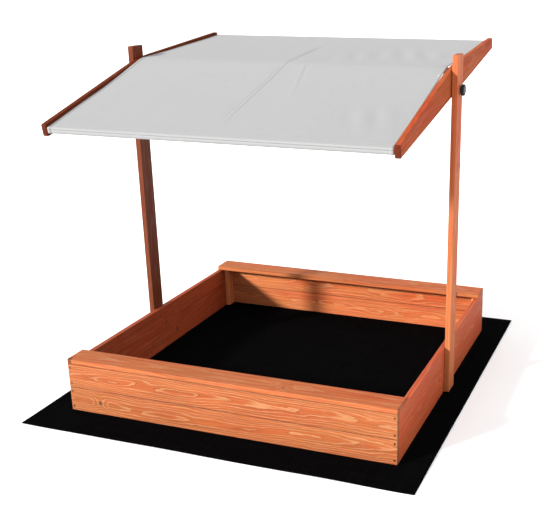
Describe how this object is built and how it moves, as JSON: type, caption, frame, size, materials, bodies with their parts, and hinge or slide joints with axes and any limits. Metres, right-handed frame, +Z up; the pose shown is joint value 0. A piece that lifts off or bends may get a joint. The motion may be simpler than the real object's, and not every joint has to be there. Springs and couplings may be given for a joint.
{
  "type": "sandbox with tilting sun roof",
  "caption": "Square wooden sandbox with seat boards, a ground sheet and a tilting cloth sun roof held between two posts by clamping knobs.",
  "frame": {"origin": "on the ground, at the middle of the square box", "axes": "+X to the right along the front, +Y to the back, +Z up"},
  "size_m": [1.4, 1.5, 1.2115],
  "materials": {
    "stained_pine": "stained, satin",
    "roof_fabric": "plain weave, matte",
    "ground_fabric": "woven tape, matte",
    "zinc_steel": "zinc plated",
    "bronzed_steel": "bronzed, dull",
    "black_plastic": "satin moulded",
    "brass_insert": "machined"
  },
  "bodies": {
    "box_frame": {"ground_sheet": "ground_fabric", "front_lower_board": "stained_pine", "front_upper_board": "stained_pine", "back_lower_board": "stained_pine", "back_upper_board": "stained_pine", "left_side_board": "stained_pine", "right_side_board": "stained_pine", "front_seat_board": "stained_pine", "back_seat_board": "stained_pine", "front_left_batten": "stained_pine", "front_right_batten": "stained_pine", "back_left_batten": "stained_pine", "back_right_batten": "stained_pine", "left_post": "stained_pine", "right_post": "stained_pine", "left_knob_washer": "zinc_steel", "right_knob_washer": "zinc_steel", "front_wall_screws": "bronzed_steel", "back_wall_screws": "bronzed_steel", "batten_screws": "bronzed_steel", "left_post_screws": "bronzed_steel", "right_post_screws": "bronzed_steel", "seat_nails": "bronzed_steel"},
    "roof_frame": {"left_roof_beam": "stained_pine", "right_roof_beam": "stained_pine", "front_roof_bar": "stained_pine", "ridge_roof_bar": "stained_pine", "rear_roof_bar": "stained_pine", "roof_fabric": "roof_fabric", "roof_bar_screws": "bronzed_steel", "left_pivot_bolt": "zinc_steel", "right_pivot_bolt": "zinc_steel", "left_spacer_washer": "zinc_steel", "right_spacer_washer": "zinc_steel"},
    "left_clamp": {"left_knob": "black_plastic", "left_knob_insert": "brass_insert"},
    "right_clamp": {"right_knob": "black_plastic", "right_knob_insert": "brass_insert"}
  },
  "joints": [
    {"name": "roof_tilt", "type": "hinge", "parent": "box_frame", "child": "roof_frame", "pos_m": [0, 0, 1.086], "axis": [1, 0, 0], "range_deg": [-100, 80]},
    {"name": "left_knob_turn", "type": "hinge", "parent": "roof_frame", "child": "left_clamp", "pos_m": [-0.6218, 0, 1.086], "axis": [-1, 0, 0], "range_deg": [0, 720]},
    {"name": "right_knob_turn", "type": "hinge", "parent": "roof_frame", "child": "right_clamp", "pos_m": [0.6218, 0, 1.086], "axis": [1, 0, 0], "range_deg": [0, 720]}
  ]
}
